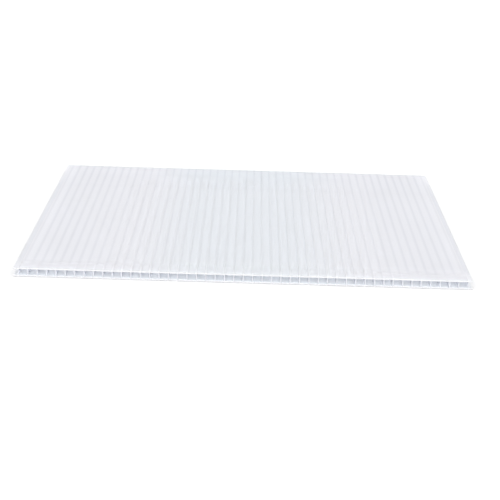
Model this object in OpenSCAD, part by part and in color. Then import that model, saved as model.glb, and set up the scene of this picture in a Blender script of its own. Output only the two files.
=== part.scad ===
// Corrugated plastic sheet.
// One extruded piece: a top skin and a bottom skin joined by straight upright
// ribs. The open flutes between the ribs run the whole length of the sheet and
// are cut square at both ends. The two side edges are cut along a flute, so a
// lip of each skin stands out beyond the outermost rib.
//
// Frame: origin at the centre of the bottom face, +X across the flutes,
// +Y along the flutes, +Z up. Millimetres.

/* [Sheet] */
// Width of the sheet, measured across the flutes
sheet_w = 210; // [190:1:230]
// Length of the sheet, measured along the flutes
sheet_l = 297; // [100:1:600]
// Thickness of the sheet over both skins
sheet_t = 4; // [3:0.1:6]

/* [Section] */
// Thickness of the top and the bottom skin
skin_t = 0.56; // [0.3:0.01:0.8]
// Thickness of each upright rib
rib_t = 0.44; // [0.25:0.01:0.7]
// Number of ribs across the sheet
rib_count = 49; // [40:1:55]
// Radius where a rib runs into a skin
root_r = 0.22; // [0.05:0.01:0.3]

/* [Side edges] */
// How far the skins stand out beyond the middle of the leftmost rib
left_lip = 2.4; // [1:0.05:3]
// How far the skins stand out beyond the middle of the rightmost rib
right_lip = 2.16; // [1:0.05:3]

/* [Hidden] */

// distance from the middle of one rib to the middle of the next
pitch = (sheet_w - left_lip - right_lip) / (rib_count - 1);
// middle of the leftmost rib
first_x = -sheet_w / 2 + left_lip;
// clear height inside a flute
flute_h = sheet_t - 2 * skin_t;
// straight steps that make up each rounded root
root_steps = 3;
// how far a cutter passes the face that it opens
past = 1;

// middle of rib number k, counted from 0 at the left
function rib_x(k) = first_x + k * pitch;

// points round a quarter of a root, about its centre (x, z), from angle a
function root(x, z, a) =
    [for (i = [0 : root_steps])
        [x + root_r * cos(a + 90 * i / root_steps),
         z + root_r * sin(a + 90 * i / root_steps)]];

// section of a closed flute between two ribs, rounded at its four roots
module flute(x0, x1) {
    z0 = skin_t;
    z1 = sheet_t - skin_t;
    polygon(concat(
        root(x1 - root_r, z1 - root_r, 0),
        root(x0 + root_r, z1 - root_r, 90),
        root(x0 + root_r, z0 + root_r, 180),
        root(x1 - root_r, z0 + root_r, 270)));
}

// section of the half flute that lies open beyond the leftmost rib
module left_edge_gap() {
    x1 = first_x - rib_t / 2;
    z0 = skin_t;
    z1 = sheet_t - skin_t;
    polygon(concat(
        root(x1 - root_r, z1 - root_r, 0),
        [[-sheet_w / 2 - past, z1], [-sheet_w / 2 - past, z0]],
        root(x1 - root_r, z0 + root_r, 270)));
}

// section of the half flute that lies open beyond the rightmost rib
module right_edge_gap() {
    x0 = rib_x(rib_count - 1) + rib_t / 2;
    z0 = skin_t;
    z1 = sheet_t - skin_t;
    polygon(concat(
        [[sheet_w / 2 + past, z0], [sheet_w / 2 + past, z1]],
        root(x0 + root_r, z1 - root_r, 90),
        root(x0 + root_r, z0 + root_r, 180)));
}

// the whole section across the flutes, X by Z
module section() {
    difference() {
        translate([-sheet_w / 2, 0]) square([sheet_w, sheet_t]);
        for (k = [0 : rib_count - 2])
            flute(rib_x(k) + rib_t / 2, rib_x(k + 1) - rib_t / 2);
        left_edge_gap();
        right_edge_gap();
    }
}

// the sheet, extruded along Y
module sheet() {
    color([0.93, 0.94, 0.96])
        translate([0, sheet_l / 2, 0])
            rotate([90, 0, 0])
                linear_extrude(height = sheet_l)
                    section();
}

sheet();
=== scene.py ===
import math

import bmesh
import bpy
import numpy as np
from mathutils import Matrix, Vector


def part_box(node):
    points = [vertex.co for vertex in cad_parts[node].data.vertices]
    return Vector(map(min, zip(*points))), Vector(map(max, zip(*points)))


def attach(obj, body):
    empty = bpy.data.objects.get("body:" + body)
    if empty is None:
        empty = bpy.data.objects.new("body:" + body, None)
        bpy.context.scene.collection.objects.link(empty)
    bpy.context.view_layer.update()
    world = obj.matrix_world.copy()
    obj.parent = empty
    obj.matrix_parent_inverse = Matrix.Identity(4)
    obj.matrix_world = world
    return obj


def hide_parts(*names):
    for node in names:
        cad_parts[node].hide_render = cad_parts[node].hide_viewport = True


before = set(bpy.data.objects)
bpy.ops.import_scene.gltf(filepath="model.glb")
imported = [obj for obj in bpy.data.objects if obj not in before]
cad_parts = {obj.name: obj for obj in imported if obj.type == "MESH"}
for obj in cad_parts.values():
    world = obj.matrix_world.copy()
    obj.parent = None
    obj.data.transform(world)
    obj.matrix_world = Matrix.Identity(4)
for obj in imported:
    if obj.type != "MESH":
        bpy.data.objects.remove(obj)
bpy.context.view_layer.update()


# ------------------------------------------------------------------ sizes
# All in metres. The outline comes from the frame, the section is the sheet's own.
LO, HI = (Vector(c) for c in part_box("sheet"))
W, L, T = HI.x - LO.x, HI.y - LO.y, HI.z - LO.z
MM = 0.001
SKIN = 0.56 * MM
RIB = 0.44 * MM
RIBS = 49
LEFT_LIP = 2.40 * MM
RIGHT_LIP = 2.16 * MM
ROOT = 0.22 * MM
PITCH = (W - LEFT_LIP - RIGHT_LIP) / (RIBS - 1)
FIRST = LO.x + LEFT_LIP
CUT = 0.07 * MM  # how far the edges of a cut are rounded

# ------------------------------------------------------------------ camera
# Where the photograph was taken from: a long lens, 11 degrees above the sheet,
# looking along the flutes, with the picture turned 1.7 degrees clockwise.
F_PX = 2220.7  # focal length over the width of one pixel of the 500 x 500 frame
YAW, ELEV, ROLL = math.radians(0.106), math.radians(11.256), math.radians(1.719)
AIM = Vector((0.00290, -0.08077, 0.002))
AWAY = 1.0796


def make_camera():
    look = Vector((math.sin(YAW) * math.cos(ELEV), math.cos(YAW) * math.cos(ELEV), -math.sin(ELEV)))
    right = Vector((math.cos(YAW), -math.sin(YAW), 0.0))
    up = right.cross(look)
    r = right * math.cos(ROLL) + up * math.sin(ROLL)
    u = up * math.cos(ROLL) - right * math.sin(ROLL)
    back = -look
    m = Matrix(((r.x, u.x, back.x), (r.y, u.y, back.y), (r.z, u.z, back.z))).to_4x4()
    m.translation = AIM + back * AWAY
    data = bpy.data.cameras.new("camera")
    data.sensor_fit = "AUTO"
    data.sensor_width = 36.0
    data.lens = F_PX * 36.0 / 500.0
    data.clip_start, data.clip_end = 0.05, 60.0
    cam = bpy.data.objects.new("camera", data)
    cam.matrix_world = m
    bpy.context.scene.collection.objects.link(cam)
    bpy.context.scene.camera = cam


make_camera()

# ------------------------------------------------------------------ shape


def waves(k, y, seed, long=0.19, short=0.047):
    """A smooth number near -1 to 1 that drifts along the extrusion, another one for each k."""
    a = 12.9898 * (k + 1) + 4.1 * seed
    return (
        0.55 * math.sin(2 * math.pi * y / long + a)
        + 0.30 * math.sin(2 * math.pi * y / (0.53 * long) + 2.3 * a)
        + 0.15 * math.sin(2 * math.pi * y / short + 3.7 * a)
    )


def per_rib(k, seed):
    """A fixed number from -1 to 1 for rib k."""
    v = math.sin(78.233 * (k + 1) + 37.7 * seed) * 43758.5453
    return 2 * (v - math.floor(v)) - 1


def rib_mid(k, y, z):
    """The middle of rib k at a height: a little lean and a little wander along the length."""
    lean = 0.015 * MM * per_rib(k, 1) * (z / T - 0.5) * 2
    return FIRST + k * PITCH + 0.016 * MM * waves(k, y, 2) + lean + 0.012 * MM * per_rib(k, 3)


def rib_half(k, y):
    return RIB / 2 * (1 + 0.04 * per_rib(k, 4) + 0.02 * waves(k, y, 5))


def skin_sink(k, y):
    """How deep the outer face sinks between ribs k and k + 1."""
    return 0.030 * MM * (1 + 0.35 * per_rib(k, 6) + 0.25 * waves(k, y, 7))


def quarter(cx, cz, r, a0, steps=4):
    """Points round a quarter circle from angle a0, in degrees, going up."""
    return [
        (cx + r * math.cos(math.radians(a0 + 90 * i / steps)), cz + r * math.sin(math.radians(a0 + 90 * i / steps)))
        for i in range(steps + 1)
    ]


def between(a, b, n):
    return [a + (b - a) * (i + 1) / (n + 1) for i in range(n)]


FLAT = 3  # points between two roots, along a skin


def bay_section(k, y, b):
    """The closed flute between ribs k and k + 1, and the points of the outline beside it, with edges pulled in by b."""
    z0, z1 = SKIN - b, T - SKIN + b
    sink = skin_sink(k, y)

    def xl(z):
        return rib_mid(k, y, z)

    def xr(z):
        return rib_mid(k + 1, y, z)

    hl, hr = rib_half(k, y) - b, rib_half(k + 1, y) - b
    x0, x1 = xl(T / 2) + hl, xr(T / 2) - hr

    def swell(x):
        return math.sin(math.pi * (x - xl(T)) / (xr(T) - xl(T))) ** 2

    def top(x):
        return (x, T - b - sink * swell(x))

    def bottom(x):
        return (x, b + 0.8 * sink * swell(x))

    def lean(p):  # the wall follows its rib's lean
        x, z = p
        side = rib_mid(k, y, z) - rib_mid(k, y, T / 2) if x < (x0 + x1) / 2 else rib_mid(k + 1, y, z) - rib_mid(k + 1, y, T / 2)
        return (x + side, z)

    inner, outer = [], []
    # top left root, going from the ceiling to the wall
    for i, p in enumerate(quarter(x0 + ROOT, z1 - ROOT, ROOT, 90)):
        inner.append(lean(p))
        q = x0 + ROOT
        outer.append([top(q), top((xl(T) + q) / 2), top(xl(T)), (xl((T + z1 - ROOT) / 2), (T - b + z1 - ROOT) / 2), (xl(z1 - ROOT), z1 - ROOT)][i])
    inner.append(lean((x0, T / 2)))
    outer.append((xl(T / 2), T / 2))
    for i, p in enumerate(quarter(x0 + ROOT, z0 + ROOT, ROOT, 180)):
        inner.append(lean(p))
        q = x0 + ROOT
        outer.append([(xl(z0 + ROOT), z0 + ROOT), (xl((z0 + ROOT) / 2), (b + z0 + ROOT) / 2), bottom(xl(0)), bottom((xl(0) + q) / 2), bottom(q)][i])
    for x in between(x0 + ROOT, x1 - ROOT, FLAT):
        inner.append((x, z0 + 1.4 * sink * swell(x)))
        outer.append(bottom(x))
    for i, p in enumerate(quarter(x1 - ROOT, z0 + ROOT, ROOT, 270)):
        inner.append(lean(p))
        q = x1 - ROOT
        outer.append([bottom(q), bottom((xr(0) + q) / 2), bottom(xr(0)), (xr((z0 + ROOT) / 2), (b + z0 + ROOT) / 2), (xr(z0 + ROOT), z0 + ROOT)][i])
    inner.append(lean((x1, T / 2)))
    outer.append((xr(T / 2), T / 2))
    for i, p in enumerate(quarter(x1 - ROOT, z1 - ROOT, ROOT, 0)):
        inner.append(lean(p))
        q = x1 - ROOT
        outer.append([(xr(z1 - ROOT), z1 - ROOT), (xr((T + z1 - ROOT) / 2), (T - b + z1 - ROOT) / 2), top(xr(T)), top((xr(T) + q) / 2), top(q)][i])
    for x in between(x1 - ROOT, x0 + ROOT, FLAT):
        inner.append((x, z1 - 1.4 * sink * swell(x)))
        outer.append(top(x))
    return inner, outer


# which pairs of neighbours in a bay's outline lie on its top and on its bottom
BAY = 4 * 5 + 2 + 2 * FLAT
TOP_PAIRS = [(2, 1), (1, 0), (0, BAY - 1)] + [(i, i - 1) for i in range(BAY - 1, BAY - FLAT - 1, -1)] + [(BAY - FLAT - 1, BAY - FLAT - 2), (BAY - FLAT - 2, BAY - FLAT - 3)]
BOTTOM_PAIRS = [(i, i + 1) for i in range(8, 8 + 2 + FLAT + 1 + 2)]


def lip_section(side, y, b):
    """The half flute that lies open beyond the outermost rib. side is -1 at the left and 1 at the right."""
    k = 0 if side < 0 else RIBS - 1
    edge = LO.x if side < 0 else HI.x
    z0, z1 = SKIN - b, T - SKIN + b
    wall = rib_mid(k, y, T / 2) + side * (rib_half(k, y) - b)
    span = abs(edge - wall)
    c = CUT
    droop = 0.085 * MM * (1 + 0.5 * waves(k, y, 11))
    rise = 0.030 * MM * (1 + 0.5 * waves(k, y, 12))

    def out(x):
        return max(0.0, min(1.0, side * (x - wall) / span)) ** 2

    def lean(p):
        return (p[0] + rib_mid(k, y, p[1]) - rib_mid(k, y, T / 2), p[1])

    def top(x):
        return (x, T - b - droop * out(x))

    def bottom(x):
        return (x, b + rise * out(x))

    def mid(z):
        return (rib_mid(k, y, z), z)

    rx = wall + side * ROOT
    ends = between(edge - side * c, rx, FLAT)
    inner = [(edge, z1 + c - droop), (edge - side * c, z1 - droop * out(edge - side * c))]
    outer = [(edge, T - b - c - droop), top(edge - side * c)]
    for x in ends:
        inner.append((x, z1 - droop * out(x)))
        outer.append(top(x))
    arc = [(rx - side * ROOT * math.sin(math.radians(22.5 * i)), z1 - ROOT + ROOT * math.cos(math.radians(22.5 * i))) for i in range(5)]
    m = rib_mid(k, y, T)
    for p, q in zip(arc, [top(rx), top((rx + m) / 2), top(m), (rib_mid(k, y, (T + z1 - ROOT) / 2), (T - b + z1 - ROOT) / 2), mid(z1 - ROOT)]):
        inner.append(lean(p))
        outer.append(q)
    inner.append(lean((wall, T / 2)))
    outer.append(mid(T / 2))
    m = rib_mid(k, y, 0)
    arc = [(rx - side * ROOT * math.cos(math.radians(22.5 * i)), z0 + ROOT - ROOT * math.sin(math.radians(22.5 * i))) for i in range(5)]
    for p, q in zip(arc, [mid(z0 + ROOT), (rib_mid(k, y, (z0 + ROOT) / 2), (b + z0 + ROOT) / 2), bottom(m), bottom((rx + m) / 2), bottom(rx)]):
        inner.append(lean(p))
        outer.append(q)
    for x in reversed(ends):
        inner.append((x, z0 + rise * out(x)))
        outer.append(bottom(x))
    inner += [(edge - side * c, z0 + rise * out(edge - side * c)), (edge, z0 - c + rise)]
    outer += [bottom(edge - side * c), (edge, b + c + rise)]
    return inner, outer


LIP = 2 * (2 + FLAT + 5) + 1
LIP_TOP = [(i, i + 1) for i in range(0, 2 + FLAT + 2)]
LIP_BOTTOM = [(i, i + 1) for i in range(LIP - 1 - (2 + FLAT + 2), LIP - 1)]

# how far each cross-section lies from the cut end, and how far its edges are pulled in there
ENDS = [(0.0, CUT), (0.293 * CUT, 0.293 * CUT), (CUT, 0.0), (0.6 * MM, 0.0), (3.0 * MM, 0.0)]
SPANS = 22
STATIONS = (
    [(LO.y + d, b) for d, b in ENDS]
    + [(LO.y + ENDS[-1][0] + (L - 2 * ENDS[-1][0]) * i / SPANS, 0.0) for i in range(1, SPANS)]
    + [(HI.y - d, b) for d, b in reversed(ENDS)]
)


def cut_line(x, y):
    """How far the saw left the end short of its nominal place."""
    d = min(y - LO.y, HI.y - y)
    fade = max(0.0, 1 - d / (3.0 * MM))
    s = 1 if y < 0 else -1
    a = 0.5 if y < 0 else 1.7
    w = 0.5 + 0.28 * math.sin(x / 0.031 + a) + 0.14 * math.sin(x / 0.0093 + 2 * a) + 0.08 * math.sin(x / 0.0021 + a)
    return s * fade * 0.045 * MM * max(0.0, w)


SKIN_SLOT, BASE_SLOT, FLUTE_SLOT, RIB_SLOT, CUT_SLOT = range(5)


def build_sheet():
    points, faces, slots = [], [], []

    def add(section, y):
        first = len(points)
        for x, z in section:
            points.append((x, y + cut_line(x, y), z))
        return first

    def quad(a, b, c, d, slot):
        faces.append((a, b, c, d))
        slots.append(slot)

    def sweep(section, count, top, bottom, closed):
        rows = []
        for y, b in STATIONS:
            inner, outer = section(y, b)
            rows.append((add(inner, y), add(outer, y)))
        loop = [(i, (i + 1) % count) for i in range(count if closed else count - 1)]
        flat = section(0.0, 0.0)[0]
        steep = [abs(flat[p][1] - flat[q][1]) > abs(flat[p][0] - flat[q][0]) for p, q in loop]
        for n, ((i0, o0), (i1, o1)) in enumerate(zip(rows, rows[1:])):
            edge = n < 2 or n >= len(rows) - 3
            for (p, q), wall in zip(loop, steep):
                quad(i0 + p, i0 + q, i1 + q, i1 + p, CUT_SLOT if edge else RIB_SLOT if wall else FLUTE_SLOT)
            for p, q in top:
                quad(o0 + p, o0 + q, o1 + q, o1 + p, CUT_SLOT if edge else SKIN_SLOT)
            for p, q in bottom:
                quad(o0 + p, o0 + q, o1 + q, o1 + p, CUT_SLOT if edge else BASE_SLOT)
            if not closed:  # the cut edge of each lip
                quad(i0, o0, o1, i1, CUT_SLOT)
                quad(i0 + count - 1, o0 + count - 1, o1 + count - 1, i1 + count - 1, CUT_SLOT)
        for i, o in (rows[0], rows[-1]):
            for p, q in loop:
                quad(i + p, i + q, o + q, o + p, CUT_SLOT)

    for k in range(RIBS - 1):
        sweep(lambda y, b, k=k: bay_section(k, y, b), BAY, TOP_PAIRS, BOTTOM_PAIRS, True)
    for side in (-1, 1):
        sweep(lambda y, b, side=side: lip_section(side, y, b), LIP, LIP_TOP, LIP_BOTTOM, False)

    mesh = bpy.data.meshes.new("fluted_sheet")
    mesh.from_pydata(points, [], faces)
    mesh.polygons.foreach_set("material_index", slots)
    bm = bmesh.new()
    bm.from_mesh(mesh)
    bmesh.ops.remove_doubles(bm, verts=bm.verts, dist=2e-7)
    bmesh.ops.recalc_face_normals(bm, faces=bm.faces)
    open_edges = sum(1 for e in bm.edges if len(e.link_faces) != 2)
    volume = bm.calc_volume(signed=True)
    if volume < 0:
        bmesh.ops.reverse_faces(bm, faces=bm.faces)
    print(f"sheet: {len(bm.verts)} points, {len(bm.faces)} faces, {open_edges} open edges, {abs(volume) * 1e6:.2f} cm3")
    bm.to_mesh(mesh)
    bm.free()
    mesh.polygons.foreach_set("use_smooth", [True] * len(mesh.polygons))
    mesh.set_sharp_from_angle(angle=math.radians(50))
    mesh.update()
    sheet = bpy.data.objects.new("fluted_sheet", mesh)
    bpy.context.scene.collection.objects.link(sheet)
    return sheet


# ------------------------------------------------------------------ materials


class Nodes:
    """Short calls that make and join shader nodes."""

    def __init__(self, name):
        self.mat = bpy.data.materials.new(name)
        self.mat.use_nodes = True
        self.tree = self.mat.node_tree
        self.tree.nodes.clear()

    def new(self, kind, **sets):
        node = self.tree.nodes.new(kind)
        for key, value in sets.items():
            setattr(node, key, value)
        return node

    def put(self, socket, value):
        if isinstance(value, bpy.types.NodeSocket):
            self.tree.links.new(value, socket)
        elif value is not None:
            socket.default_value = value

    def math(self, op, a, b=None, c=None, clamp=False):
        n = self.new("ShaderNodeMath", operation=op, use_clamp=clamp)
        for s, v in zip(n.inputs, (a, b, c)):
            self.put(s, v)
        return n.outputs[0]

    def ramp(self, value, lo, hi, to_lo=0.0, to_hi=1.0, smooth=True):
        n = self.new("ShaderNodeMapRange", interpolation_type="SMOOTHSTEP" if smooth else "LINEAR")
        for s, v in zip(n.inputs, (value, lo, hi, to_lo, to_hi)):
            self.put(s, v)
        return n.outputs[0]

    def noise(self, vector, scale, detail=2.0, rough=0.5):
        n = self.new("ShaderNodeTexNoise", noise_dimensions="3D")
        self.put(n.inputs["Vector"], vector)
        n.inputs["Scale"].default_value = scale
        n.inputs["Detail"].default_value = detail
        n.inputs["Roughness"].default_value = rough
        return n.outputs["Fac"]

    def stretched(self, coords, scale):
        n = self.new("ShaderNodeMapping")
        self.put(n.inputs["Vector"], coords)
        n.inputs["Scale"].default_value = scale
        return n.outputs[0]

    def blend(self, fac, a, b, how="MIX"):
        n = self.new("ShaderNodeMix", data_type="RGBA", blend_type=how)
        self.put(n.inputs["Factor"], fac)
        colour = [s for s in n.inputs if s.type == "RGBA"]
        self.put(colour[0], a)
        self.put(colour[1], b)
        return [s for s in n.outputs if s.type == "RGBA"][0]

    def mix(self, fac, a, b):
        n = self.new("ShaderNodeMixShader")
        self.put(n.inputs[0], fac)
        self.put(n.inputs[1], a)
        self.put(n.inputs[2], b)
        return n.outputs[0]


def place(n):
    """Where a point lies: its coordinates, how far it is from the nearest rib's middle, from 0 to 0.5 of the pitch,
    how far from the front and the back cut end, and if it is on a lip beyond the outermost ribs."""
    coords = n.new("ShaderNodeTexCoord").outputs["Object"]
    xyz = n.new("ShaderNodeSeparateXYZ")
    n.put(xyz.inputs[0], coords)
    x, y, z = xyz.outputs
    off = n.math("PINGPONG", n.math("DIVIDE", n.math("SUBTRACT", x, FIRST), PITCH), 0.5)
    front = n.math("ADD", y, L / 2)
    back = n.math("SUBTRACT", L / 2, y)
    lip = n.ramp(n.math("MAXIMUM", n.math("SUBTRACT", FIRST, x), n.math("SUBTRACT", x, FIRST + (RIBS - 1) * PITCH)), -0.25 * MM, 0.15 * MM)
    return coords, x, y, z, off, front, back, lip


def polypropylene(name, pale, deep, through, clear, rough=0.38, ribs=0.0, middle=None, closed=None, lip_shade=None, low=None, corner_shade=None, mouth=None, flute_shade=None, rib_shade=None, mid=None, foot_shade=None, beyond=None):
    """Natural polypropylene: part sends light back, part lets it through scattered, and part lets it straight through.
    pale and deep are the colours where the skin is thin and where it runs into a rib, and middle tints the sheet's
    middle third. closed is the two colours, between the ribs and over them, where the skin is cloudy: some of it
    everywhere, more towards the sides, and all near the back end, where it lets next to nothing straight through;
    the darker one, over the ribs, is painted shade of the rib walls seen through the skin. lip_shade is the colour
    beyond the outermost ribs, painted shade. low is (through, clear) in the lower half of the sheet's thickness.
    corner_shade is (colour, how far from the mouth): painted shade in the upper corners. mouth is (colour, depth):
    painted light, paler towards the front mouths. flute_shade is painted shade on the band that the floor has some
    way in from the front; painted shade also darkens the faces inside the open lips. rib_shade is painted shade
    along each rib. mid is the colour of a rib's own end between the skins, foot_shade is painted shade at the lower
    edge of a cut, and beyond is painted light: the colour of a cut anywhere but at the front, paler as the front light
    hardly reaches there."""
    n = Nodes(name)
    coords, x, y, z, off, front, back, lip = place(n)
    lines = n.noise(n.stretched(coords, (900.0, 4.0, 900.0)), 1.0, 3.0)
    streaks = n.noise(n.stretched(coords, (160.0, 2.0, 160.0)), 1.0, 2.0)
    cloud = n.noise(coords, 22.0, 2.0)
    tone = n.math("ADD", n.math("MULTIPLY", lines, 0.30), n.math("ADD", n.math("MULTIPLY", streaks, 0.35), n.math("MULTIPLY", cloud, 0.35)))
    near_rib = n.ramp(off, 0.03, 0.15, 1.0, 0.0)
    shade = n.math("MULTIPLY", near_rib, ribs)
    shade = n.math("ADD", shade, n.math("MULTIPLY", n.math("SUBTRACT", tone, 0.5), 0.5), clamp=True)
    colour = n.blend(shade, pale, deep)
    # painted light: paler towards the front mouths, where the front light comes in
    if mouth:
        colour = n.blend(n.ramp(front, 0.0, mouth[1], 1.0, 0.0, smooth=False), colour, mouth[0])
    # painted shade in the upper corners of the flutes near the front mouths
    if corner_shade:
        corner = n.math("MULTIPLY", n.ramp(z, 1.9 * MM, 2.9 * MM), n.ramp(front, 0.3 * corner_shade[1], corner_shade[1], 1.0, 0.0))
        colour = n.blend(corner, colour, corner_shade[0])
    # painted shade: a darker band on the flute floor 7 to 20 mm in from the front, and darker faces inside the open
    # lips from about 4 to 60 mm in
    if flute_shade:
        band = n.math("MULTIPLY", n.ramp(front, 7 * MM, 11 * MM), n.ramp(front, 14 * MM, 20 * MM, 1.0, 0.0))
        colour = n.blend(n.math("MULTIPLY", band, n.ramp(z, 1.5 * MM, 2.5 * MM, 1.0, 0.0)), colour, flute_shade, "MULTIPLY")
        inside = n.math("MULTIPLY", n.math("MULTIPLY", lip, n.ramp(front, 4 * MM, 11 * MM)), n.ramp(front, 30 * MM, 60 * MM, 1.0, 0.0))
        colour = n.blend(inside, colour, (0.74, 0.755, 0.78, 1), "MULTIPLY")
    inward = n.ramp(n.math("ABSOLUTE", x), 18 * MM, 62 * MM, 1.0, 0.0)
    rear = n.ramp(back, 18 * MM, 66 * MM, 1.0, 0.0, smooth=False)
    if closed:
        outer = n.math("MULTIPLY", n.ramp(n.math("ABSOLUTE", x), 34 * MM, 84 * MM, 0.45, 0.82), n.ramp(front, 6 * MM, 22 * MM))
        cloudy = n.math("SUBTRACT", 1.0, n.math("MULTIPLY", n.math("SUBTRACT", 1.0, rear), n.math("SUBTRACT", 1.0, outer)))
        square = n.ramp(n.math("ABSOLUTE", x), 36 * MM, 84 * MM, 1.0, 0.0)
        # painted shade of the rib walls seen through the skin: darker lines, as wide as broad, set a little towards the
        # sheet's middle from each rib, more so towards the sides
        broad = n.ramp(n.math("ABSOLUTE", x), 15 * MM, 75 * MM, 0.18, 0.29)
        aside = n.math("PINGPONG", n.math("DIVIDE", n.math("SUBTRACT", n.math("MULTIPLY", x, 1 + 0.50 * PITCH / W), FIRST), PITCH), 0.5)
        colour = n.blend(n.math("MULTIPLY", n.ramp(aside, 0.02, 0.14, 1.0, 0.0), n.ramp(front, 3 * MM, 24 * MM, 0.2, 1.0)), colour, rib_shade, "MULTIPLY")
        colour = n.blend(cloudy, colour, n.blend(n.ramp(aside, 0.02, broad, 1.0, 0.0), closed[0], closed[1]))
        # painted shade: the skin darkens over the last 6 mm before the back cut end
        colour = n.blend(n.ramp(back, 0.5 * MM, 6 * MM, 1.0, 0.0), colour, (0.90, 0.905, 0.91, 1), "MULTIPLY")
        end = n.math("MAXIMUM", lip, cloudy)
    # painted shade on the lips beyond the outermost ribs, weaker towards the back
    if lip_shade:
        colour = n.blend(n.math("MULTIPLY", lip, n.ramp(rear, 0.0, 1.0, 1.0, 0.35, smooth=False)), colour, lip_shade)
    if middle:
        colour = n.blend(inward, colour, middle, "MULTIPLY")
    if mid:
        inner = n.math("MULTIPLY", n.ramp(n.math("ABSOLUTE", n.math("SUBTRACT", z, T / 2)), T / 2 - SKIN - 0.25 * MM, T / 2 - SKIN + 0.10 * MM, 1.0, 0.0), n.ramp(off, 0.04, 0.10, 1.0, 0.0))
        colour = n.blend(inner, colour, mid)
    # painted shade along the lower edge of a cut, up to 0.8 mm high
    if foot_shade:
        colour = n.blend(n.ramp(z, 0.0, 0.8 * MM, 1.0, 0.0), colour, foot_shade)
    # painted light: cut faces away from the front are paler, since the front light hardly reaches them
    if beyond:
        colour = n.blend(n.ramp(front, 1 * MM, 6 * MM), colour, beyond)
    bump = n.new("ShaderNodeBump")
    bump.inputs["Strength"].default_value = 0.35
    bump.inputs["Distance"].default_value = 0.00002
    n.put(bump.inputs["Height"], n.math("ADD", lines, n.math("MULTIPLY", streaks, 2.0)))
    body = n.new("ShaderNodeBsdfPrincipled")
    n.put(body.inputs["Base Color"], colour)
    n.put(body.inputs["Roughness"], n.ramp(tone, 0.3, 0.7, rough - 0.05, rough + 0.06))
    body.inputs["IOR"].default_value = 1.49
    n.put(body.inputs["Normal"], bump.outputs[0])
    glow = n.new("ShaderNodeBsdfTranslucent")
    n.put(glow.inputs["Color"], colour)
    n.put(glow.inputs["Normal"], bump.outputs[0])
    upper = n.ramp(z, 0.45 * T, 0.55 * T) if low else None
    if low:
        through = n.ramp(upper, 0.0, 1.0, low[0], through, smooth=False)
    if closed:
        through = n.ramp(cloudy, 0.0, 1.0, through, 0.66, smooth=False)
    shader = n.mix(through, body.outputs[0], glow.outputs[0])
    if clear:
        clean = n.new("ShaderNodeBsdfTransparent")
        clean.inputs["Color"].default_value = (0.985, 0.99, 1.0, 1.0)
        share = clear
        if low:
            share = n.ramp(upper, 0.0, 1.0, low[1], clear, smooth=False)
        if closed:  # cloudier over a rib too, which shows where it is seen square on
            seam = n.math("MULTIPLY", n.ramp(off, 0.04, 0.14, 1.0, 0.0), square)
            share = n.ramp(end, 0.0, 1.0, n.ramp(seam, 0.0, 1.0, clear, 0.50 * clear, smooth=False), 0.03, smooth=False)
        shader = n.mix(share, shader, clean.outputs[0])
    out = n.new("ShaderNodeOutputMaterial")
    n.put(out.inputs["Surface"], shader)
    return n.mat


# ------------------------------------------------------------------ the piece

sheet = build_sheet()
for material in (
    # skin: painted shade on the lips and along the ribs, painted light towards the front mouths
    polypropylene("pp_skin", (0.948, 0.926, 0.917, 1), (0.92, 0.90, 0.894, 1), 0.52, 0.42, middle=(0.958, 0.983, 0.984, 1), closed=((0.972, 0.961, 0.965, 1), (0.892, 0.885, 0.895, 1)), lip_shade=(0.82, 0.82, 0.835, 1), mouth=((0.98, 0.96, 0.95, 1), 13 * MM), rib_shade=(0.986, 0.986, 0.988, 1)),
    polypropylene("pp_base", (0.97, 0.975, 0.985, 1), (0.95, 0.955, 0.965, 1), 0.28, 0.06, ribs=0.5),
    # flute faces: painted light towards the front mouths, painted shade in a band on the floor, inside the lips and on
    # the lips
    polypropylene("pp_flute", (0.955, 0.975, 0.998, 1), (0.91, 0.925, 0.95, 1), 0.50, 0.55, low=(0.22, 0.08), mouth=((0.955, 0.975, 0.995, 1), 13 * MM), flute_shade=(0.94, 0.945, 0.955, 1), lip_shade=(0.88, 0.89, 0.905, 1)),
    # rib walls: painted shade, darker than the rest of the same plastic, with painted shade in the upper corners and
    # painted light towards the front mouths
    polypropylene("pp_rib", (0.765, 0.775, 0.81, 1), (0.745, 0.755, 0.79, 1), 0.60, 0.08, corner_shade=((0.575, 0.585, 0.64, 1), 10 * MM), mouth=((0.94, 0.96, 0.992, 1), 9 * MM)),
    # cut faces: darker at the front, where the front light falls, painted lighter elsewhere, painted shade at the lower
    # edge
    polypropylene("pp_cut_end", (0.65, 0.655, 0.665, 1), (0.635, 0.645, 0.665, 1), 0.20, 0.0, rough=0.5, mid=(0.61, 0.62, 0.645, 1), foot_shade=(0.65, 0.65, 0.66, 1), beyond=(0.80, 0.805, 0.825, 1)),
):
    sheet.data.materials.append(material)
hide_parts("sheet")
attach(sheet, "root")

# ------------------------------------------------------------------ floor and light


def make_floor():
    n = Nodes("floor_white")
    coords = n.new("ShaderNodeTexCoord").outputs["Object"]
    tone = n.noise(coords, 6.0, 3.0)
    body = n.new("ShaderNodeBsdfPrincipled")
    n.put(body.inputs["Base Color"], n.blend(tone, (0.738, 0.738, 0.738, 1), (0.746, 0.746, 0.746, 1)))
    body.inputs["Roughness"].default_value = 0.9
    body.inputs["Specular IOR Level"].default_value = 0.1
    out = n.new("ShaderNodeOutputMaterial")
    n.put(out.inputs["Surface"], body.outputs[0])
    mesh = bpy.data.meshes.new("floor")
    r = 18.0
    mesh.from_pydata([(-r, -r, 0), (r, -r, 0), (r, r, 0), (-r, r, 0)], [], [(0, 1, 2, 3)])
    floor = bpy.data.objects.new("floor", mesh)
    floor.location = (0, 0, LO.z - 0.00012)
    mesh.materials.append(n.mat)
    bpy.context.scene.collection.objects.link(floor)


BASE_LIGHT, KEY_LIGHT, KEY_RISE, KEY_TIGHT = 1.125, 1.71, math.radians(18), 2.0


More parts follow.
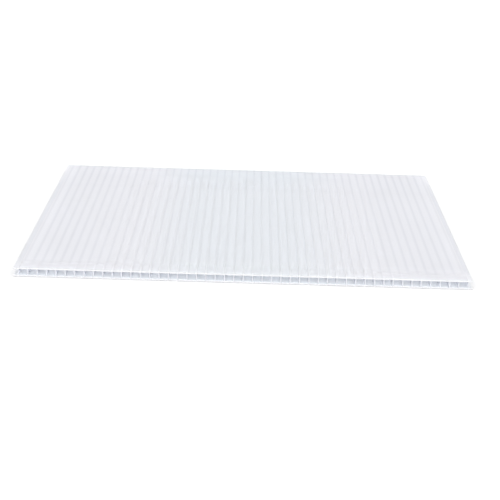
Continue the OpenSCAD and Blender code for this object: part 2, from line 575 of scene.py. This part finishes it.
def make_light():
    """A white studio all round, with a broad soft light low in front of the flute mouths. What the lens sees of it is plain white."""
    world = bpy.data.worlds.new("studio")
    world.use_nodes = True
    tree = world.node_tree
    tree.nodes.clear()

    def node(kind, **sets):
        n = tree.nodes.new(kind)
        for key, value in sets.items():
            setattr(n, key, value)
        return n

    def sum_of(op, a, b, clamp=False):
        n = node("ShaderNodeMath", operation=op, use_clamp=clamp)
        for s, v in zip(n.inputs, (a, b)):
            if isinstance(v, bpy.types.NodeSocket):
                tree.links.new(v, s)
            else:
                s.default_value = v
        return n.outputs[0]

    way = node("ShaderNodeTexCoord").outputs["Generated"]
    dot = node("ShaderNodeVectorMath", operation="DOT_PRODUCT")
    tree.links.new(way, dot.inputs[0])
    dot.inputs[1].default_value = (0.0, -math.cos(KEY_RISE), math.sin(KEY_RISE))
    lobe = sum_of("POWER", sum_of("MAXIMUM", dot.outputs["Value"], 0.0), KEY_TIGHT)
    light = sum_of("ADD", sum_of("MULTIPLY", lobe, KEY_LIGHT), BASE_LIGHT)
    studio = node("ShaderNodeBackground")
    studio.inputs["Color"].default_value = (1.0, 1.0, 1.0, 1)
    tree.links.new(light, studio.inputs["Strength"])
    white = node("ShaderNodeBackground")
    white.inputs["Color"].default_value = (1.0, 1.0, 1.0, 1)
    white.inputs["Strength"].default_value = 1.08
    mix = node("ShaderNodeMixShader")
    tree.links.new(node("ShaderNodeLightPath").outputs["Is Camera Ray"], mix.inputs[0])
    tree.links.new(studio.outputs[0], mix.inputs[1])
    tree.links.new(white.outputs[0], mix.inputs[2])
    out = node("ShaderNodeOutputWorld")
    tree.links.new(mix.outputs[0], out.inputs["Surface"])
    bpy.context.scene.world = world


make_floor()
make_light()
scene = bpy.context.scene
scene.view_settings.view_transform = "Standard"
scene.view_settings.look = "None"
scene.cycles.use_denoising = True
scene.cycles.use_adaptive_sampling = False
scene.cycles.max_bounces = 16
scene.cycles.diffuse_bounces = 8
scene.cycles.glossy_bounces = 4
scene.cycles.transmission_bounces = 12
scene.cycles.transparent_max_bounces = 24
